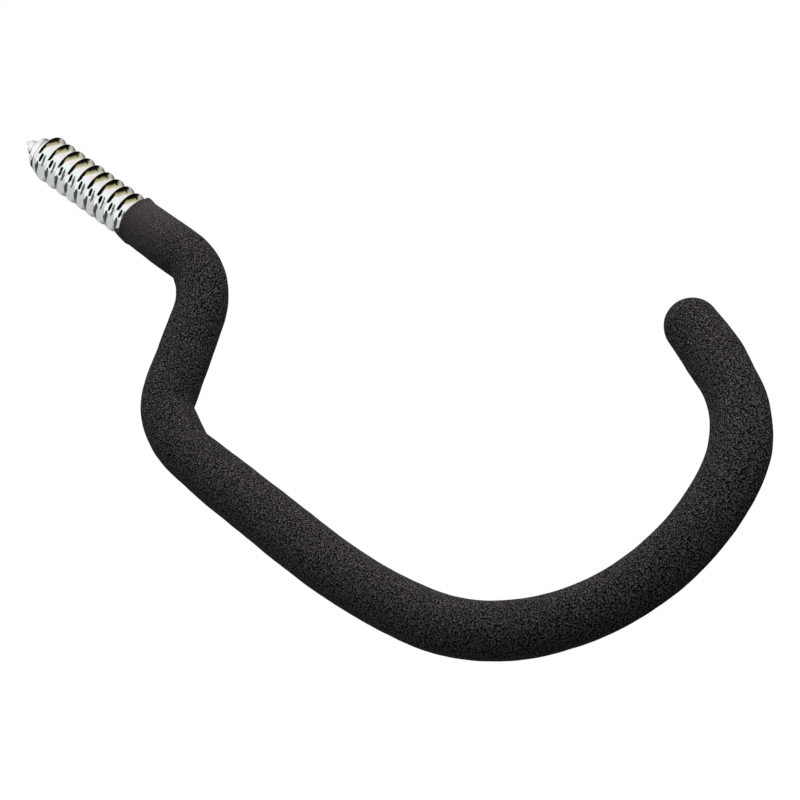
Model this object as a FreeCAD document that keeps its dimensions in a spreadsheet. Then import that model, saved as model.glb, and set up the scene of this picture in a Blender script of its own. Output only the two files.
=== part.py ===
import FreeCAD, Part
import math
import os

import Sketcher

# Screw-in utility hook: a bent steel rod with a wood-screw thread at one end and a dipped coating elsewhere.
# Millimetres. +Z points up along the screw, and the origin is on its axis at the coating's upper edge.
# The hook lies in the XZ plane, with its shank on the -X side and its free end on the +X side.

SIZES = {
    # Wood-screw thread and its cone point
    "thread_diameter": 7.94,
    "thread_length": 24,
    "thread_pitch": 2.7,
    "thread_start_angle": 237,
    "groove_depth": 1.05,
    "groove_root_width": 1,
    "groove_mouth_width": 2.1,
    "point_length": 6.2,
    # Bent rod, from the coating's edge to the free end
    "rod_diameter": 7.1,
    "neck_length": 12.75,
    "upper_bend_radius": 13.3,
    "upper_bend_angle": 63.5,
    "jog_length": 10.85,
    "lower_bend_radius": 17.3,
    "lower_bend_angle": 62.7,
    "shank_length": 32,
    "lead_radius": 103.5,
    "lead_angle": 12.6,
    "bowl_radius": 36,
    "bowl_angle": 94.1,
    "end_radius": 22.4,
    "end_angle": 56.9,
    "end_length": 13.2,
    "rod_end_chamfer": 1,
    # Dipped coating
    "coat_diameter": 9.4,
    "lip_diameter": 8.3,
    "lip_round": 0.3,
    "end_cover": 2.2,
    "dome_round": 4.3,
}
# How far the groove's section reaches past the thread's crests, as a share of the groove's depth
OVERCUT = 0.2
# How closely an edge has to match the centre and radius that it is looked up by
MATCH = 1e-4

doc = FreeCAD.newDocument("utility_hook")
sheet = doc.addObject("Spreadsheet::Sheet", "Sizes")
for row, (alias, value) in enumerate(SIZES.items(), start=1):
    sheet.set(f"A{row}", alias)
    sheet.set(f"B{row}", str(value))
    sheet.setAlias(f"B{row}", alias)
doc.recompute()


def flat_point(across, along):
    return FreeCAD.Vector(across, along, 0)


def origin_plane(body, role):
    return next(item for item in body.Origin.OriginFeatures if item.Role == role)


def new_sketch(body, name, role):
    sketch = body.newObject("Sketcher::SketchObject", name)
    sketch.AttachmentSupport = [(origin_plane(body, role), "")]
    sketch.MapMode = "FlatFace"
    return sketch


def bind(sketch, name, constraint, expression):
    """Adds a dimension to a sketch and ties it to the sheet."""
    index = sketch.addConstraint(constraint)
    sketch.renameConstraint(index, name)
    sketch.setExpression(f"Constraints.{name}", expression)


def upright_outline(body, name, corners):
    """A closed outline in the XZ plane, whose corners are pairs of expressions for X and Z.

    It is drawn as a rough polygon, and its dimensions then pull each corner to its place.
    """
    sketch = new_sketch(body, name, "XZ_Plane")
    steps = [2 * math.pi * number / len(corners) for number in range(len(corners))]
    rough = [(math.cos(step), math.sin(step)) for step in steps]
    edges = []
    for start, end in zip(rough, rough[1:] + rough[:1]):
        edges.append(sketch.addGeometry(Part.LineSegment(flat_point(*start), flat_point(*end)), False))
    for edge, following in zip(edges, edges[1:] + edges[:1]):
        sketch.addConstraint(Sketcher.Constraint("Coincident", edge, 2, following, 1))
    for edge, start, (across, along) in zip(edges, rough, corners):
        bind(sketch, f"across_{edge}", Sketcher.Constraint("DistanceX", -1, 1, edge, 1, start[0]), across)
        bind(sketch, f"along_{edge}", Sketcher.Constraint("DistanceY", -1, 1, edge, 1, start[1]), along)
    return sketch


def round_section(body, name, alias):
    """A round section of the named diameter, square to the screw's axis and centred on it."""
    sketch = new_sketch(body, name, "XY_Plane")
    ring = Part.Circle(flat_point(0, 0), FreeCAD.Vector(0, 0, 1), SIZES[alias] / 2)
    circle = sketch.addGeometry(ring, False)
    sketch.addConstraint(Sketcher.Constraint("Coincident", circle, 3, -1, 1))
    bind(sketch, "diameter", Sketcher.Constraint("Diameter", circle, SIZES[alias]), f"Sizes.{alias}")
    return sketch


class HookLine:
    """The hook's centre line in the XZ plane, from the coating's edge: tangent runs and arcs in a row."""

    def __init__(self, body, name):
        self.sketch = new_sketch(body, name, "XZ_Plane")
        self.place = (0.0, 0.0)
        self.heading = -math.pi / 2
        self.last = None

    def step(self, distance, direction):
        across, along = self.place
        return (across + distance * math.cos(direction), along + distance * math.sin(direction))

    def join(self, element, near, far):
        """Joins an element's near end to the line, smoothly, and leaves its far end as the line's end."""
        if self.last is None:
            self.sketch.addConstraint(Sketcher.Constraint("Coincident", element, near, -1, 1))
            self.sketch.addConstraint(Sketcher.Constraint("Vertical", element))
        else:
            self.sketch.addConstraint(Sketcher.Constraint("Tangent", *self.last, element, near))
        self.last = (element, far)

    def run(self, name, *aliases):
        """A straight run, as long as the named sizes together."""
        length = sum(SIZES[alias] for alias in aliases)
        end = self.step(length, self.heading)
        line = self.sketch.addGeometry(Part.LineSegment(flat_point(*self.place), flat_point(*end)), False)
        self.join(line, 1, 2)
        expression = " + ".join(f"Sizes.{alias}" for alias in aliases)
        bind(self.sketch, name, Sketcher.Constraint("Distance", line, length), expression)
        self.place = end

    def bend(self, name, side):
        """An arc of the named bend's radius and angle, turning left (side 1) or right (side -1)."""
        radius = SIZES[f"{name}_radius"]
        turn = math.radians(SIZES[f"{name}_angle"])
        inward = self.heading + side * math.pi / 2
        centre = self.step(radius, inward)
        begin = inward + math.pi
        finish = begin + side * turn
        circle = Part.Circle(flat_point(*centre), FreeCAD.Vector(0, 0, 1), radius)
        arc = self.sketch.addGeometry(Part.ArcOfCircle(circle, min(begin, finish), max(begin, finish)), False)
        near, far = (1, 2) if side > 0 else (2, 1)
        self.join(arc, near, far)
        radius_size = Sketcher.Constraint("Radius", arc, radius)
        turn_size = Sketcher.Constraint("Angle", arc, turn)
        bind(self.sketch, f"{name}_radius", radius_size, f"Sizes.{name}_radius")
        bind(self.sketch, f"{name}_angle", turn_size, f"Sizes.{name}_angle")
        self.place = (centre[0] + radius * math.cos(finish), centre[1] + radius * math.sin(finish))
        self.heading += side * turn


def hook_line(body, name, *end_aliases):
    """The whole centre line. The named sizes together are its last straight run."""
    line = HookLine(body, name)
    line.run("neck", "neck_length")
    line.bend("upper_bend", -1)
    line.run("jog", "jog_length")
    line.bend("lower_bend", 1)
    line.run("shank", "shank_length")
    line.bend("lead", 1)
    line.bend("bowl", 1)
    line.bend("end", 1)
    line.run("free_end", *end_aliases)
    return line


def swept(body, kind, name, section, line, first_edge=1):
    """A section carried along the centre line, from the numbered edge of the line to its end."""
    pipe = body.newObject(f"PartDesign::{kind}", name)
    pipe.Profile = section
    edge_numbers = range(first_edge, line.sketch.GeometryCount + 1)
    pipe.Spine = (line.sketch, [f"Edge{number}" for number in edge_numbers])
    doc.recompute()
    return pipe


def turned(body, name, sketch):
    """A sketch turned once around the screw's axis."""
    solid = body.newObject("PartDesign::Revolution", name)
    solid.Profile = sketch
    solid.ReferenceAxis = (sketch, ["V_Axis"])
    doc.recompute()
    return solid


def circle_edges(body, centre, radius):
    """The names of a body's circular edges that have this centre and radius."""
    names = []
    for number, edge in enumerate(body.Shape.Edges, start=1):
        curve = edge.Curve
        if not isinstance(curve, Part.Circle):
            continue
        if abs(curve.Radius - radius) < MATCH and curve.Center.distanceToPoint(centre) < MATCH:
            names.append(f"Edge{number}")
    return names


def eased(body, kind, name, edge_names, size_property, alias):
    """A fillet or chamfer of the named size on edges of the body as it stands."""
    base = body.Tip
    feature = body.newObject(f"PartDesign::{kind}", name)
    feature.Base = (base, edge_names)
    feature.setExpression(size_property, f"Sizes.{alias}")
    doc.recompute()
    return feature


def line_end(line):
    return FreeCAD.Vector(line.place[0], 0, line.place[1])


# Steel hook: the thread and its point are turned as one blank and grooved, and the rod goes on from there
steel = doc.addObject("PartDesign::Body", "steel_hook")
steel.Label = "steel_hook"

screw_outline = [
    ("0", "0"),
    ("Sizes.thread_diameter / 2", "0"),
    ("Sizes.thread_diameter / 2", "Sizes.thread_length"),
    ("0", "Sizes.thread_length + Sizes.point_length"),
]
turned(steel, "screw_blank", upright_outline(steel, "screw_outline", screw_outline))

# The groove's section reaches past the crests, along its own flanks, by a share of its depth.
# It starts below the coating's edge, a whole number of turns before it runs out on the point.
groove_end = "(Sizes.thread_length + Sizes.thread_pitch)"
groove_turns = f"ceil(({groove_end} + Sizes.groove_mouth_width) / Sizes.thread_pitch)"
groove_climb = f"{groove_turns} * Sizes.thread_pitch"
groove_start = f"{groove_end} - {groove_climb}"
root_radius = "Sizes.thread_diameter / 2 - Sizes.groove_depth"
past_radius = f"Sizes.thread_diameter / 2 + Sizes.groove_depth * {OVERCUT}"
root_half = "Sizes.groove_root_width / 2"
flank_width = "(Sizes.groove_mouth_width - Sizes.groove_root_width) / 2"
past_half = f"(Sizes.groove_mouth_width / 2 + {flank_width} * {OVERCUT})"
groove_outline = [
    (root_radius, f"{groove_start} - {root_half}"),
    (past_radius, f"{groove_start} - {past_half}"),
    (past_radius, f"{groove_start} + {past_half}"),
    (root_radius, f"{groove_start} + {root_half}"),
]
groove_section = upright_outline(steel, "groove_section", groove_outline)
screw_axis_in_sketch = FreeCAD.Vector(0, 1, 0)
start_turn = FreeCAD.Rotation(screw_axis_in_sketch, SIZES["thread_start_angle"])
groove_section.AttachmentOffset = FreeCAD.Placement(FreeCAD.Vector(0, 0, 0), start_turn)
groove_section.setExpression("AttachmentOffset.Rotation.Angle", "Sizes.thread_start_angle")
groove = steel.newObject("PartDesign::SubtractiveHelix", "thread_groove")
groove.Profile = groove_section
groove.ReferenceAxis = (groove_section, ["V_Axis"])
groove.Mode = "pitch-height-angle"
groove.setExpression("Pitch", "Sizes.thread_pitch")
groove.setExpression("Height", groove_climb)
doc.recompute()

rod_line = hook_line(steel, "rod_line", "end_length")
swept(steel, "AdditivePipe", "rod", round_section(steel, "rod_section", "rod_diameter"), rod_line)
rod_end_edges = circle_edges(steel, line_end(rod_line), SIZES["rod_diameter"] / 2)
eased(steel, "Chamfer", "rod_end", rod_end_edges, "Size", "rod_end_chamfer")

# Dipped coating: a tapered neck under the lip, an even skin along the bends and a dome over the rod's end
coating = doc.addObject("PartDesign::Body", "vinyl_coating")
coating.Label = "vinyl_coating"

neck_outline = [
    ("0", "0"),
    ("Sizes.lip_diameter / 2", "0"),
    ("Sizes.coat_diameter / 2", "-Sizes.neck_length"),
    ("0", "-Sizes.neck_length"),
]
turned(coating, "coat_neck", upright_outline(coating, "neck_outline", neck_outline))

coat_line = hook_line(coating, "coat_line", "end_length", "end_cover")
coat_section = round_section(coating, "coat_section", "coat_diameter")
coat_section.setExpression("AttachmentOffset.Base.z", "-Sizes.neck_length")
swept(coating, "AdditivePipe", "coat_skin", coat_section, coat_line, first_edge=2)
dome_edges = circle_edges(coating, line_end(coat_line), SIZES["coat_diameter"] / 2)
eased(coating, "Fillet", "dome", dome_edges, "Radius", "dome_round")
lip_edges = circle_edges(coating, FreeCAD.Vector(0, 0, 0), SIZES["lip_diameter"] / 2)
eased(coating, "Fillet", "lip", lip_edges, "Radius", "lip_round")

bore_line = hook_line(coating, "bore_line", "end_length")
bore_section = round_section(coating, "bore_section", "rod_diameter")
swept(coating, "SubtractivePipe", "rod_bore", bore_section, bore_line)

for item in doc.Objects:
    if "Invalid" in item.State or "Error" in item.State:
        raise RuntimeError(f"{item.Label} failed: {item.State}")
os.makedirs("parts", exist_ok=True)
for body in (steel, coating):
    shape = body.Shape
    if shape.isNull() or not shape.isValid() or len(shape.Solids) != 1:
        raise RuntimeError(f"{body.Label} is not one valid solid")
for body in (steel, coating):
    body.Shape.exportStep(f"parts/{body.Label}.step")
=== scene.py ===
import math

import bpy
from mathutils import Matrix, Vector, noise


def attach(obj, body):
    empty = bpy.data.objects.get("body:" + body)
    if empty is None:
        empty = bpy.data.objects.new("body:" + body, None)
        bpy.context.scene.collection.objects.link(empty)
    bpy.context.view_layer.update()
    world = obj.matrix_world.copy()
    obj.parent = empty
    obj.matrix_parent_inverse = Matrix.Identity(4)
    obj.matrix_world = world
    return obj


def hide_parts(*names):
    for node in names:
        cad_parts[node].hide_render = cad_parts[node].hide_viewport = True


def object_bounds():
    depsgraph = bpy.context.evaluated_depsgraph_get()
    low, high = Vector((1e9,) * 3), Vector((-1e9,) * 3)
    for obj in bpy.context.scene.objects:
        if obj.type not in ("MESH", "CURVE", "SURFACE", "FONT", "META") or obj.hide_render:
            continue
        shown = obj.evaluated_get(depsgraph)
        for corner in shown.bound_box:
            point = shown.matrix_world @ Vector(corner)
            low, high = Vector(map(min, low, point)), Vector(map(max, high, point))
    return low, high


# Screw-in utility hook: a bright zinc wood-screw thread and a bent rod in a black dipped vinyl skin.
# Metres. +Z points up along the screw, and the origin is on its axis at the skin's upper edge.

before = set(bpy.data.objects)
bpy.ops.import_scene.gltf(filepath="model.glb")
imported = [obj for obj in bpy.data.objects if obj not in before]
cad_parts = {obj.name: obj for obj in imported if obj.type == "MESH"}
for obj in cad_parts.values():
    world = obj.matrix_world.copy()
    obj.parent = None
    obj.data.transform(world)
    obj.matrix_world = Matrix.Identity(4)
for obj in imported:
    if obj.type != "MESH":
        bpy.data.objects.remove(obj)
cad_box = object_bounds()

# The bent line of the rod, from the skin's upper edge: the length of each stretch, or its radius and turn
NECK_LENGTH = 0.01275
UPPER_BEND = (0.0133, -63.5)
JOG_LENGTH = 0.01085
LOWER_BEND = (0.0173, 62.7)
SHANK_LENGTH = 0.032
LEAD_ARC = (0.1035, 12.6)
BOWL_ARC = (0.036, 94.1)
END_ARC = (0.0224, 56.9)
END_LENGTH = 0.0132

# Wood-screw thread: each turn is a hollow that rises ever more steeply to a crest and drops off behind it.
# Its places are shares of the pitch, from the middle of the groove towards the point.
THREAD_RADIUS = 0.00397
THREAD_LENGTH = 0.024
THREAD_PITCH = 0.0027
THREAD_START = math.radians(237)
THREAD_DEPTH = 0.00048
HOLLOW_START = -0.15
HOLLOW_POWER = 2.4
CREST_START = 0.6
CREST_END = 0.62
DROP_END = 0.76
THREAD_FOOT = -0.0016
POINT_LENGTH = 0.0062
POINT_RADIUS = 0.00008
# How much faster than the point's own radius the thread fades out on it
POINT_FADE = 2.2

# Rod under the skin
ROD_RADIUS = 0.00355

# Vinyl skin: its radius at a few places along the rod
SKIN_RADII = ((0.0, 0.0041), (0.012, 0.00428), (0.04, 0.0046), (0.08, 0.00475), (0.145, 0.0047),
              (0.168, 0.0049), (0.188, 0.00487), (0.206, 0.0046))
# How far its upper edge climbs the screw at a few angles around it, and how far down the rod that is felt
LIP_CLIMB = ((0, 0.0001), (90, 0.0), (150, -0.0003), (164, -0.0005), (190, -0.0005), (240, -0.0006),
             (285, -0.0006), (325, -0.0003), (338, 0.0001), (347, 0.0003), (360, 0.0001))
LIP_REACH = 0.006
# The edge starts inside the screw, at a depth below its top, and rolls over outwards
LIP_INNER_RADIUS = 0.0028
LIP_INNER_DEPTH = 0.0006
LIP_ROLL = 0.00045
# The lip is a small rolled bead, with one lump at an angle around the screw
BEAD_HEIGHT = 0.00015
BEAD_MIDDLE = 0.0005
BEAD_WIDTH = 0.0005
BEAD_LUMP_ANGLE = 343.0
BEAD_LUMP_WIDTH = 13.0
BEAD_LUMP_HEIGHT = 0.00014
# A narrow drip runs up into the last groove. Angles are around the screw, and the drip fades out at its sides
# over one angle and down the rod between two distances.
DRIP_ANGLE = 186.0
DRIP_HALF_WIDTH = 22.0
DRIP_SIDE_FADE = 10.0
DRIP_CLIMB = 0.0021
DRIP_RADIUS = 0.0039
DRIP_FADE_START = 0.0012
DRIP_FADE_LENGTH = 0.0007
# How much fuller it is on the outside of the hook's curve, along the rod
OUTER_SWELL = ((0.0, 0.0), (0.036, 0.0), (0.045, 0.0004), (0.056, -0.0004), (0.066, 0.0), (0.074, 0.0),
               (0.084, 0.00012), (0.1, 0.0), (0.122, 0.0002), (0.144, 0.0), (0.167, 0.0), (0.1785, 0.0004),
               (0.185, 0.0), (0.191, -0.0004), (0.197, 0.0002), (0.2001, 0.00017), (0.2042, -0.00004))
# Lumps in the dipped surface: the size of each kind and how far it stands out
LUMPS = ((0.0065, 0.00007), (0.0022, 0.00004))
# The skin thins where it pulls tight across the inside of a bend, in straight facets that meet at creases:
# the angle of each crease into the bend, and how far its facets reach
UPPER_CREASES = ((14.0, 14.0),)
LOWER_CREASES = ((21.5, 20.0), (52.9, 9.8))
# The facets fade in towards the inside of the bend: where, and over how much, as shares of the radius
FACET_EDGE = 0.2
FACET_FADE = 0.6
# The dome over the free end: how far it reaches, and where it starts from the end of the rod
DOME_LENGTH = 0.0046
DOME_START = -0.0024
# The map of the surface, in metres along the rod and around it at an even radius
SURFACE_MAP = "surface"
MAP_RADIUS = 0.0047


def arc(radius, degrees):
    """The length and the turn, in radians, of one bend of the rod."""
    turn = math.radians(degrees)
    return radius * abs(turn), turn


STRETCHES = (
    (NECK_LENGTH, 0.0),
    arc(*UPPER_BEND),
    (JOG_LENGTH, 0.0),
    arc(*LOWER_BEND),
    (SHANK_LENGTH, 0.0),
    arc(*LEAD_ARC),
    arc(*BOWL_ARC),
    arc(*END_ARC),
    (END_LENGTH, 0.0),
)
ROD_LENGTH = sum(length for length, turn in STRETCHES)


def hook_line(distance):
    """The rod's centre and its heading in the XZ plane, at a distance from the skin's upper edge."""
    x, z, heading = 0.0, 0.0, -math.pi / 2
    for number, (length, turn) in enumerate(STRETCHES):
        last = number == len(STRETCHES) - 1
        before = number == 0 and distance < 0
        part = distance if last or before else min(distance, length)
        bent = turn * part / length
        if turn:
            radius = length / turn
            x += radius * (math.sin(heading + bent) - math.sin(heading))
            z -= radius * (math.cos(heading + bent) - math.cos(heading))
        else:
            x += part * math.cos(heading)
            z += part * math.sin(heading)
        heading += bent
        distance -= part
        if distance <= 0:
            break
    return Vector((x, 0, z)), heading


def smooth(share):
    """A share, held between 0 and 1 and eased at both ends."""
    share = min(max(share, 0.0), 1.0)
    return share * share * (3 - 2 * share)


def between(table, place):
    """A smooth value between the places and values of a short table."""
    for (start, low), (end, high) in zip(table, table[1:]):
        if place <= end:
            return low + (high - low) * smooth((place - start) / (end - start))
    return table[-1][1]


def outward(heading, angle):
    """The direction away from the rod's line, at an angle around it from the inside of the hook."""
    inward = Vector((-math.sin(heading), 0, math.cos(heading)))
    return inward * math.cos(angle) + Vector((0, 1, 0)) * math.sin(angle)


def ring(distance, radius_at, sides, lift=None):
    """The points around the rod at a distance along it, with a radius and a lift that follow the angle."""
    points = []
    for number in range(sides):
        angle = 2 * math.pi * number / sides
        centre, heading = hook_line(distance - (lift(angle) if lift else 0.0))
        points.append(centre + outward(heading, angle) * radius_at(angle))
    return points


def loft(name, rings, dome=None):
    """A closed mesh through rings of points, capped at both ends.

    It is mapped in metres, along the rod and around it, and across the dome from the ring where that starts.
    """
    sides = len(rings[0])
    points = [point for row in rings for point in row]
    centres = [sum(row, Vector()) / sides for row in rings]
    along = [0.0]
    for centre, following in zip(centres, centres[1:]):
        along.append(along[-1] + (following - centre).length)
    across = (centres[-1] - centres[-2]).cross(Vector((0, 1, 0))).normalized()

    def spot(row, side, domed):
        if domed:
            point = rings[row][side % sides] - centres[row]
            return along[-1] + point.dot(across), point.y
        return along[row], 2 * math.pi * MAP_RADIUS * side / sides

    faces = []
    spots = []
    for row in range(len(rings) - 1):
        domed = dome is not None and row >= dome
        for side in range(sides):
            after = (side + 1) % sides
            near, far = row * sides, (row + 1) * sides
            faces.append((near + side, far + side, far + after, near + after))
            spots += [spot(row, side, domed), spot(row + 1, side, domed)]
            spots += [spot(row + 1, side + 1, domed), spot(row, side + 1, domed)]
    start, end = len(points), len(points) + 1
    points += [centres[0], centres[-1]]
    last = len(rings) - 1
    for side in range(sides):
        after = (side + 1) % sides
        faces.append((start, side, after))
        spots += [(0.0, 0.0), spot(0, side, False), spot(0, side + 1, False)]
        faces.append((end, last * sides + after, last * sides + side))
        spots += [(along[-1], 0.0), spot(last, side + 1, True), spot(last, side, True)]
    mesh = bpy.data.meshes.new(name)
    mesh.from_pydata(points, [], faces)
    mesh.uv_layers.new(name=SURFACE_MAP).uv.foreach_set("vector", [value for pair in spots for value in pair])
    mesh.shade_smooth()
    piece = bpy.data.objects.new(name, mesh)
    bpy.context.scene.collection.objects.link(piece)
    return piece


def thread_cut(place):
    """How deep the thread lies at a place in its turn, as a share of its full depth."""
    place -= math.floor(place - DROP_END + 1)
    if place <= HOLLOW_START:
        return 1.0
    if place <= CREST_START:
        return 1 - ((place - HOLLOW_START) / (CREST_START - HOLLOW_START)) ** HOLLOW_POWER
    return smooth((place - CREST_END) / (DROP_END - CREST_END))


def thread_radius(angle, height):
    """How far the screw's surface stands from its axis."""
    middle = THREAD_LENGTH + THREAD_PITCH * (angle - THREAD_START) / (2 * math.pi)
    point = min((THREAD_LENGTH + POINT_LENGTH - height) / POINT_LENGTH, 1.0)
    depth = THREAD_DEPTH * min(POINT_FADE * point, 1.0)
    return max(POINT_RADIUS, THREAD_RADIUS * point - depth * thread_cut((height - middle) / THREAD_PITCH))


def build_screw():
    """The threaded point and, hidden in the skin, the rod down to its free end."""
    sides, rows, rod_rows = 96, 620, 150
    top = THREAD_LENGTH + POINT_LENGTH
    rings = []
    for row in range(rows + 1):
        height = top + (THREAD_FOOT - top) * row / rows
        rings.append(ring(-height, lambda angle: thread_radius(angle, height), sides))
    for row in range(1, rod_rows + 1):
        distance = -THREAD_FOOT + (ROD_LENGTH + THREAD_FOOT) * row / rod_rows
        rings.append(ring(distance, lambda angle: ROD_RADIUS, sides))
    return loft("zinc_screw_rod", rings)


def drip_share(angle):
    """How much of the drip there is at an angle around the screw."""
    from_middle = abs(math.degrees(angle) % 360 - DRIP_ANGLE)
    return smooth((DRIP_HALF_WIDTH - from_middle) / DRIP_SIDE_FADE)


def lip_climb(angle):
    """How far the skin's upper edge climbs the screw."""
    return between(LIP_CLIMB, math.degrees(angle) % 360) + DRIP_CLIMB * drip_share(angle)


def bead(distance, angle):
    """How far the rolled lip stands out."""
    from_lump = (math.degrees(angle) % 360 - BEAD_LUMP_ANGLE) / BEAD_LUMP_WIDTH
    height = BEAD_HEIGHT + BEAD_LUMP_HEIGHT * math.exp(-from_lump ** 2)
    return height * math.exp(-((distance - BEAD_MIDDLE) / BEAD_WIDTH) ** 2)


def drip_radius(distance, angle, radius):
    """The skin's radius, drawn in to the screw where the drip runs."""
    faded = smooth((distance - DRIP_FADE_START) / DRIP_FADE_LENGTH)
    return radius + (DRIP_RADIUS - radius) * drip_share(angle) * (1 - faded)


def facet(radius, degrees, creases):
    """How much thinner the skin is on the inside of a bend, at an angle into it."""
    thinner = 0.0
    for crease, half in creases:
        left = max(half - abs(degrees - crease), 0.0)
        thinner += radius / math.cos(math.radians(left)) - radius
    return thinner


def skin_radius(distance, angle, point):
    """The skin's radius around the rod, with its bead, its facets, its lumps and its drip."""
    radius = between(SKIN_RADII, distance) + between(OUTER_SWELL, distance) * max(-math.cos(angle), 0.0)
    radius += bead(distance, angle)
    start = NECK_LENGTH
    for (bend, turn), creases in ((UPPER_BEND, UPPER_CREASES), (LOWER_BEND, LOWER_CREASES)):
        length = bend * math.radians(abs(turn))
        into = (distance - start) / length * abs(turn)
        if 0 < into < abs(turn):
            inside = math.cos(angle) if turn > 0 else -math.cos(angle)
            radius -= facet(bend - radius, into, creases) * smooth((inside - FACET_EDGE) / FACET_FADE)
        start += length + JOG_LENGTH
    for size, height in LUMPS:
        radius += height * noise.noise(point / size)
    return drip_radius(distance, angle, radius)


def skin_ring(along, distance, share, sides):
    """One ring of the skin: its place on the skin, its distance along the rod and its share of the radius."""
    felt = 1 - smooth(along / LIP_REACH)
    centre, heading = hook_line(distance)
    points = []
    for number in range(sides):
        angle = 2 * math.pi * number / sides
        away = outward(heading, angle)
        middle = hook_line(distance - lip_climb(angle) * felt)[0] if felt > 0 else centre
        lump_place = middle + away * SKIN_RADII[0][1]
        points.append(middle + away * skin_radius(along, angle, lump_place) * share)
    return points


def lip_ring(turn, sides):
    """One ring of the rolled lip, at a turn from its top to the skin's side."""
    inset = LIP_ROLL * (1 - math.sin(turn))

    def lip_radius(angle):
        full = SKIN_RADII[0][1] + bead(LIP_ROLL, angle)
        return drip_radius(0.0, angle, full) - inset

    return ring(LIP_ROLL * (1 - math.cos(turn)), lip_radius, sides, lip_climb)


def build_skin():
    """The dipped skin, from its uneven lip on the screw to the dome over the free end."""
    sides, rows, roll_rows, dome_rows = 120, 720, 8, 24
    rings = [ring(LIP_INNER_DEPTH, lambda angle: LIP_INNER_RADIUS, sides, lip_climb)]
    for row in range(roll_rows):
        rings.append(lip_ring(math.pi / 2 * row / (roll_rows - 1), sides))
    end = ROD_LENGTH + DOME_START
    for row in range(1, rows + dome_rows):
        along = LIP_ROLL + (end - LIP_ROLL) * min(row / rows, 1.0)
        turn = math.pi / 2 * max(row - rows, 0) / dome_rows
        rings.append(skin_ring(along, along + DOME_LENGTH * math.sin(turn), math.cos(turn), sides))
    return loft("dipped_skin", rings, len(rings) - dome_rows // 2)


def node_material(name):
    """A new material, with its node tree and its main shader."""
    material = bpy.data.materials.new(name)
    material.use_nodes = True
    tree = material.node_tree
    return material, tree, tree.nodes["Principled BSDF"]


def add(tree, kind, **settings):
    """A new node, with some of its settings and inputs."""
    node = tree.nodes.new(kind)
    for key, value in settings.items():
        if hasattr(node, key):
            setattr(node, key, value)
        else:
            node.inputs[key].default_value = value
    return node


def ramp(tree, source, *stops):
    """A colour that runs through stops, each a place and a colour, as a source goes from 0 to 1."""
    node = tree.nodes.new("ShaderNodeValToRGB")
    elements = node.color_ramp.elements
    while len(elements) < len(stops):
        elements.new(0.5)
    for element, (place, colour) in zip(elements, stops):
        element.position = place
        element.color = (*colour, 1)
    tree.links.new(source, node.inputs["Fac"])
    return node.outputs["Color"]


def calculate(tree, operation, *values):
    """The result of a sum on values, each a number or another node's output."""
    node = add(tree, "ShaderNodeMath", operation=operation)
    for socket, value in zip(node.inputs, values):
        if isinstance(value, float):
            socket.default_value = value
        else:
            tree.links.new(value, socket)
    return node.outputs[0]


def reach(tree, place, direction):
    """How far a place lies along a direction."""
    node = add(tree, "ShaderNodeVectorMath", operation="DOT_PRODUCT")
    tree.links.new(place, node.inputs[0])
    node.inputs[1].default_value = direction
    return node.outputs["Value"]


# The sockets of a Mix node that take its share and two colours, and the one that gives their mix
MIX_SHARE, MIX_ONE, MIX_OTHER = 0, 6, 7
MIX_RESULT = 2


def multiply(tree, one, other):
    """One colour darkened by another."""
    node = add(tree, "ShaderNodeMix", data_type="RGBA", blend_type="MULTIPLY")
    node.inputs[MIX_SHARE].default_value = 1.0
    tree.links.new(one, node.inputs[MIX_ONE])
    tree.links.new(other, node.inputs[MIX_OTHER])
    return node.outputs[MIX_RESULT]


def grey(level):
    return (level, level, level)


# Vinyl: the number of grains in a metre, their height, and the shades from the rim of a grain to its top:
# the grain's pattern is its own, its dark rims are painted shade in the crevices and its pale tops are
# painted glints
GRAIN_SCALE = 3300.0
GRAIN_HEIGHT = 0.0001
GRAIN_SHADE_AND_GLINT_TONES = ((0.3, (0.012, 0.0112, 0.012)), (0.55, (0.056, 0.0522, 0.056)),
                (0.78, (0.178, 0.166, 0.177)), (0.95, (0.43, 0.401, 0.427)))
# Some grains are brighter than others: painted glints
PAINTED_GLINT_GRAINS = ((0.2, grey(0.22)), (0.75, grey(0.5)), (0.92, grey(1.0)))
# The film thins towards the lip, where it is painted paler as a painted sheen: where, up the rod, that starts
# and ends, the plain colour that shows there and how much of it, and the darker shade of the full film beside
# it
THIN_FILM_SHEEN_START = -0.014
THIN_FILM_SHEEN_END = -0.003
THIN_FILM_SHEEN_COLOUR = (0.052, 0.047, 0.048)
THIN_FILM_SHEEN_SHARE = 0.7
FILM_SHADE_BELOW_SHEEN = 0.7


def film_thinness_and_sheen(tree):
    """How thin the film is, and how strong its painted sheen, from 0 down the rod to 1 at the lip."""
    axes = tree.nodes.new("ShaderNodeSeparateXYZ")
    tree.links.new(tree.nodes.new("ShaderNodeTexCoord").outputs["Object"], axes.inputs["Vector"])
    film = add(tree, "ShaderNodeMapRange")
    film.inputs["From Min"].default_value = THIN_FILM_SHEEN_START
    film.inputs["From Max"].default_value = THIN_FILM_SHEEN_END
    tree.links.new(axes.outputs["Z"], film.inputs["Value"])
    return film.outputs["Result"]


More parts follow.
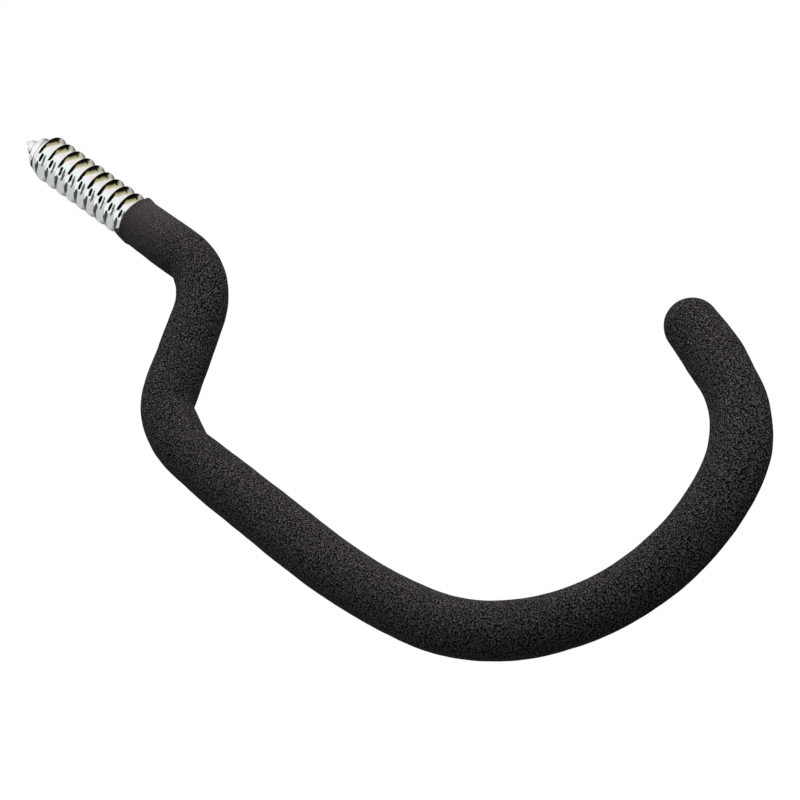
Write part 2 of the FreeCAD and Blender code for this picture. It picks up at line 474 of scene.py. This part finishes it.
def vinyl_material():
    """Matt black vinyl with a pebbled grain, painted shade in its crevices and painted glints on its tops and
    on a few grains, and a painted sheen where it thins towards the lip.
    """
    material, tree, shader = node_material("black_vinyl_grain")
    surface = add(tree, "ShaderNodeUVMap", uv_map=SURFACE_MAP)
    cells = add(tree, "ShaderNodeTexVoronoi", voronoi_dimensions="2D", feature="SMOOTH_F1", Scale=GRAIN_SCALE)
    tree.links.new(surface.outputs["UV"], cells.inputs["Vector"])
    grain = calculate(tree, "SUBTRACT", 1.0, cells.outputs["Distance"])
    # The grain's colour: painted shade in its crevices and painted glints on its tops
    colour = ramp(tree, grain, *GRAIN_SHADE_AND_GLINT_TONES)
    # Painted glints that make a few grains brighter than others
    bright = ramp(tree, cells.outputs["Color"], *PAINTED_GLINT_GRAINS)
    thinness_and_sheen = film_thinness_and_sheen(tree)
    # Painted sheen: the film is painted paler towards the lip and darker down the rod
    paler = ramp(tree, thinness_and_sheen, (0.0, grey(FILM_SHADE_BELOW_SHEEN)), (1.0, grey(1.0)))
    colour = multiply(tree, multiply(tree, colour, paler), bright)
    # Towards the lip the grain fades into a plain colour, which is also painted paler as a painted sheen
    plain = add(tree, "ShaderNodeMix", data_type="RGBA")
    tree.links.new(calculate(tree, "MULTIPLY", thinness_and_sheen, THIN_FILM_SHEEN_SHARE), plain.inputs[MIX_SHARE])
    tree.links.new(colour, plain.inputs[MIX_ONE])
    plain.inputs[MIX_OTHER].default_value = (*THIN_FILM_SHEEN_COLOUR, 1)
    tree.links.new(plain.outputs[MIX_RESULT], shader.inputs["Base Color"])
    bump = add(tree, "ShaderNodeBump", Strength=1.0, Distance=GRAIN_HEIGHT)
    tree.links.new(grain, bump.inputs["Height"])
    tree.links.new(bump.outputs["Normal"], shader.inputs["Normal"])
    shader.inputs["Roughness"].default_value = 0.7
    shader.inputs["Specular IOR Level"].default_value = 0.015
    return material


# Zinc: fine marks, drawn out around the screw by these scales, and low dents
MARK_SCALES = (500, 500, 5000)
MARK_HEIGHT = 0.00004
MARK_SHADES = ((0.25, (0.80, 0.82, 0.82)), (0.5, (0.91, 0.92, 0.92)), (0.75, (0.95, 0.94, 0.93)))
DENT_SCALE = 900.0
DENT_HEIGHT = 0.00015


def zinc_material():
    """Bright zinc plate, with fine marks that run around the rolled thread."""
    material, tree, shader = node_material("bright_zinc_plate")
    place = tree.nodes.new("ShaderNodeTexCoord").outputs["Object"]
    stretch = tree.nodes.new("ShaderNodeMapping")
    stretch.inputs["Scale"].default_value = MARK_SCALES
    tree.links.new(place, stretch.inputs["Vector"])
    marks = add(tree, "ShaderNodeTexNoise", Scale=1.0, Detail=2.0, Roughness=0.6)
    tree.links.new(stretch.outputs["Vector"], marks.inputs["Vector"])
    colour = ramp(tree, marks.outputs["Fac"], *MARK_SHADES)
    tree.links.new(colour, shader.inputs["Base Color"])
    dents = add(tree, "ShaderNodeTexNoise", Scale=DENT_SCALE, Detail=1.0, Roughness=0.5)
    tree.links.new(place, dents.inputs["Vector"])
    fine = add(tree, "ShaderNodeBump", Strength=0.15, Distance=MARK_HEIGHT)
    tree.links.new(marks.outputs["Fac"], fine.inputs["Height"])
    broad = add(tree, "ShaderNodeBump", Strength=0.2, Distance=DENT_HEIGHT)
    tree.links.new(dents.outputs["Fac"], broad.inputs["Height"])
    tree.links.new(fine.outputs["Normal"], broad.inputs["Normal"])
    tree.links.new(broad.outputs["Normal"], shader.inputs["Normal"])
    shader.inputs["Metallic"].default_value = 1.0
    shader.inputs["Roughness"].default_value = 0.06
    return material


# Camera at the photograph's angle: below the hook, looking up at it, and rolled.
# Its place is an offset from the hook's middle, to its own right, up and back.
CAMERA_AZIMUTH = math.radians(-100.328)
CAMERA_ELEVATION = math.radians(-37.0818)
CAMERA_ROLL = math.radians(-54.3224)
CAMERA_PLACE = (0.00767, -0.0109, 0.9215)
CAMERA_LENS = 253.44
SENSOR = 36.0

HOOK_MIDDLE = (Vector(cad_box[0]) + Vector(cad_box[1])) / 2
CAMERA_TURN = (Matrix.Rotation(CAMERA_AZIMUTH + math.pi / 2, 3, "Z")
               @ Matrix.Rotation(math.pi / 2 - CAMERA_ELEVATION, 3, "X")
               @ Matrix.Rotation(CAMERA_ROLL, 3, "Z"))


def camera_offset(right, up, back):
    """An offset to the camera's own right, up and back."""
    return CAMERA_TURN @ Vector((right, up, back))


def add_camera():
    """The camera, which the scene then uses."""
    data = bpy.data.cameras.new("camera")
    data.sensor_width = SENSOR
    data.lens = CAMERA_LENS
    camera = bpy.data.objects.new("camera", data)
    place = HOOK_MIDDLE + camera_offset(*CAMERA_PLACE)
    camera.matrix_world = Matrix.Translation(place) @ CAMERA_TURN.to_4x4()
    bpy.context.scene.collection.objects.link(camera)
    bpy.context.scene.camera = camera


# Lamps: offset from the hook's middle to the camera's right, up and back, diameter and power
LAMP_COLOUR = (1.0, 0.95, 0.9)
LAMPS = (
    ("key", (-0.14, 0.98, -0.05), 1.8, 14.0),
    ("side", (0.17, 0.1, 0.16), 0.06, 0.08),
    ("rear", (0.0, 0.25, -0.97), 1.2, 11.0),
)


def add_lamp(name, place, size, power):
    """A round lamp that lights the hook and isn't seen in it."""
    data = bpy.data.lights.new(name, "AREA")
    data.shape = "DISK"
    data.size = size
    data.energy = power
    data.color = LAMP_COLOUR
    lamp = bpy.data.objects.new(name, data)
    lamp.location = HOOK_MIDDLE + camera_offset(*place)
    lamp.rotation_euler = (HOOK_MIDDLE - lamp.location).to_track_quat("-Z", "Y").to_euler()
    lamp.visible_glossy = False
    lamp.visible_camera = False
    bpy.context.scene.collection.objects.link(lamp)


# The screw's own directions: along its axis, towards the camera and, square to both, up in the photograph
SCREW_AXIS = Vector((0, 0, 1))
SCREW_FRONT = Vector((-0.179, -0.984, 0))
SCREW_ABOVE = Vector((0.984, -0.179, 0))

# Curved cards: direction along, in front of and above the screw, half angle, distance, and shades from the
# middle to the edge
CURVED_CARDS = (
    ("dark_card", (-0.75, -0.25, 0.61), 92, 0.4, (
        (0.0, grey(0.0)), (0.695, grey(0.002)), (0.735, (0.05, 0.043, 0.018)), (0.79, (0.34, 0.31, 0.16)),
        (0.9, (0.6, 0.56, 0.37)), (1.0, (0.95, 0.93, 0.85)))),
    ("pink_card", (0.603, 0.15, 0.78), 40, 0.43, (
        (0.0, (0.93, 0.85, 0.91)), (0.8, (0.93, 0.86, 0.91)), (1.0, grey(1.0)))),
    ("mint_card", (0.5, 0.85, 0.1), 22, 0.42, (
        (0.0, (0.9, 1.0, 0.98)), (1.0, (0.97, 1.0, 1.0)))),
    ("rear_card", (0.55, -0.75, 0.38), 26, 0.39, (
        (0.0, grey(0.5)), (0.6, (0.62, 0.62, 0.6)), (1.0, (0.25, 0.25, 0.2)))),
    ("cool_card", (0.25, -0.25, -0.94), 56, 0.41, (
        (0.0, (0.56, 0.577, 0.577)), (1.0, (0.644, 0.66, 0.66)))),
    ("back_card", (0.603, -0.798, 0.0), 46, 0.38, (
        (0.0, (0.1, 0.1, 0.075)), (0.45, (0.2, 0.2, 0.16)), (0.75, (0.45, 0.45, 0.42)),
        (1.0, (0.62, 0.63, 0.62)))),
)
# Oval cards: the same directions, half angles along and across the screw, distance and shade
OVAL_CARDS = (
    ("tick_card", (0.2, 0.93, -0.29), 9, 22, 0.3, grey(0.0)),
    ("dot_card", (0.39, -0.24, 0.89), 9, 6, 0.3, grey(0.0)),
    ("edge_card", (-0.22, 0.86, 0.4), 15, 32, 0.3, (0.003, 0.003, 0.002)),
    ("low_card", (0.02, 0.42, -0.9), 9, 28, 0.3, (0.06, 0.07, 0.07)),
    ("line_card", (0.02, -0.12, -0.99), 7, 40, 0.32, (0.12, 0.13, 0.12)),
    ("teal_card", (0.54, 0.73, -0.43), 6, 30, 0.31, (0.1, 0.14, 0.14)),
    ("tip_card", (0.85, -0.5, -0.2), 14, 22, 0.3, (0.03, 0.04, 0.04)),
)


def screw_direction(along, front, above):
    """A direction given along, in front of and above the screw."""
    return (SCREW_AXIS * along + SCREW_FRONT * front + SCREW_ABOVE * above).normalized()


def stage_card(name, points, faces, shade):
    """A glowing card beside the screw, which only its reflections show."""
    mesh = bpy.data.meshes.new(name)
    mesh.from_pydata(points, [], faces)
    card = bpy.data.objects.new(name, mesh)
    card.location = SCREW_AXIS * THREAD_LENGTH / 2
    bpy.context.scene.collection.objects.link(card)
    card.visible_camera = False
    card.visible_shadow = False
    card.visible_diffuse = False
    material, tree, shader = node_material(name)
    tree.nodes.remove(shader)
    glow = tree.nodes.new("ShaderNodeEmission")
    shade(tree, glow)
    tree.links.new(glow.outputs[0], tree.nodes["Material Output"].inputs["Surface"])
    mesh.materials.append(material)


def add_curved_card(name, direction, spread, distance, stops):
    """A round card on a sphere about the screw, shaded from its middle to its edge."""
    towards = screw_direction(*direction)
    turn = towards.to_track_quat("Z", "Y")
    rows, sides = 24, 64
    points = [towards * distance]
    faces = []
    for row in range(1, rows + 1):
        wide = math.radians(spread) * row / rows
        first = len(points)
        for side in range(sides):
            around = 2 * math.pi * side / sides
            across = Vector((math.cos(around), math.sin(around), 0)) * math.sin(wide)
            points.append(turn @ (across + Vector((0, 0, math.cos(wide)))) * distance)
            after = (side + 1) % sides
            if row == 1:
                faces.append((0, first + side, first + after))
            else:
                faces.append((first - sides + side, first + side, first + after, first - sides + after))

    def shade(tree, glow):
        place = tree.nodes.new("ShaderNodeTexCoord").outputs["Object"]
        away = calculate(tree, "ARCCOSINE", reach(tree, place, towards / distance))
        share = calculate(tree, "DIVIDE", away, math.radians(spread))
        tree.links.new(ramp(tree, share, *stops), glow.inputs["Color"])

    stage_card(name, points, faces, shade)


def add_oval_card(name, direction, along, across, distance, colour):
    """A flat oval card of one shade that faces the screw."""
    towards = screw_direction(*direction)
    long = (SCREW_AXIS - towards * SCREW_AXIS.dot(towards)).normalized() * math.tan(math.radians(along))
    short = towards.cross(long).normalized() * math.tan(math.radians(across))
    sides = 48
    points = []
    for side in range(sides):
        around = 2 * math.pi * side / sides
        points.append((towards + long * math.cos(around) + short * math.sin(around)) * distance)

    def shade(tree, glow):
        glow.inputs["Color"].default_value = (*colour, 1)

    stage_card(name, points, [tuple(range(sides))], shade)


# The fill light's own direction, and its shade from the far side of the hook to that direction
FILL_FROM = camera_offset(-0.12, 0.95, 0.2).normalized()
FILL_SHADES = ((0.0, (0.004, 0.005, 0.008)), (1.0, (0.78, 0.76, 0.8)))


def add_world():
    """White to the camera and to reflections, and a graded fill light to everything else."""
    world = bpy.data.worlds.new("studio")
    world.use_nodes = True
    tree = world.node_tree
    tree.nodes.clear()
    path = tree.nodes.new("ShaderNodeLightPath")
    mirrored = calculate(tree, "MAXIMUM", path.outputs["Is Glossy Ray"], path.outputs["Is Transmission Ray"])
    seen = calculate(tree, "MAXIMUM", path.outputs["Is Camera Ray"], mirrored)
    way = tree.nodes.new("ShaderNodeTexCoord").outputs["Generated"]
    height = add(tree, "ShaderNodeMapRange")
    height.inputs["From Min"].default_value = -1.0
    tree.links.new(reach(tree, way, FILL_FROM), height.inputs["Value"])
    fill = add(tree, "ShaderNodeBackground", Strength=1.0)
    tree.links.new(ramp(tree, height.outputs["Result"], *FILL_SHADES), fill.inputs["Color"])
    white = add(tree, "ShaderNodeBackground", Strength=1.0)
    white.inputs["Color"].default_value = (1, 1, 1, 1)
    mix = tree.nodes.new("ShaderNodeMixShader")
    tree.links.new(seen, mix.inputs["Fac"])
    tree.links.new(fill.outputs[0], mix.inputs[1])
    tree.links.new(white.outputs[0], mix.inputs[2])
    output = tree.nodes.new("ShaderNodeOutputWorld")
    tree.links.new(mix.outputs[0], output.inputs["Surface"])
    bpy.context.scene.world = world


# Floor: its height, its size and how much it glows to the camera
FLOOR_HEIGHT = -0.72
FLOOR_SIZE = 8.0
FLOOR_GLOW = 0.7


def add_floor():
    """A pale floor, white to reflections, that keeps a soft shadow."""
    bpy.ops.mesh.primitive_plane_add(size=FLOOR_SIZE, location=(0, 0, FLOOR_HEIGHT))
    floor = bpy.context.object
    floor.name = "floor"
    floor.visible_diffuse = False
    material, tree, shader = node_material("pale_floor")
    place = tree.nodes.new("ShaderNodeTexCoord").outputs["Object"]
    cloud = add(tree, "ShaderNodeTexNoise", Scale=2.0)
    tree.links.new(place, cloud.inputs["Vector"])
    colour = ramp(tree, cloud.outputs["Fac"], (0.3, grey(0.86)), (0.7, grey(0.9)))
    tree.links.new(colour, shader.inputs["Base Color"])
    shader.inputs["Roughness"].default_value = 0.9
    path = tree.nodes.new("ShaderNodeLightPath")
    mirrored = calculate(tree, "MAXIMUM", path.outputs["Is Glossy Ray"], path.outputs["Is Transmission Ray"])
    seen = calculate(tree, "MULTIPLY_ADD", path.outputs["Is Camera Ray"], FLOOR_GLOW, mirrored)
    glow = tree.nodes.new("ShaderNodeEmission")
    mix = tree.nodes.new("ShaderNodeMixShader")
    tree.links.new(seen, mix.inputs["Fac"])
    tree.links.new(shader.outputs[0], mix.inputs[1])
    tree.links.new(glow.outputs[0], mix.inputs[2])
    tree.links.new(mix.outputs[0], tree.nodes["Material Output"].inputs["Surface"])
    floor.data.materials.append(material)


def dress(piece, material, node):
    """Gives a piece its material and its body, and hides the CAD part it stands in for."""
    piece.data.materials.append(material)
    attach(piece, "root")
    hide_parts(node)


dress(build_screw(), zinc_material(), "steel_hook")
dress(build_skin(), vinyl_material(), "vinyl_coating")
add_camera()
for lamp in LAMPS:
    add_lamp(*lamp)
for card in CURVED_CARDS:
    add_curved_card(*card)
for card in OVAL_CARDS:
    add_oval_card(*card)
add_world()
add_floor()
bpy.context.scene.view_settings.view_transform = "Standard"
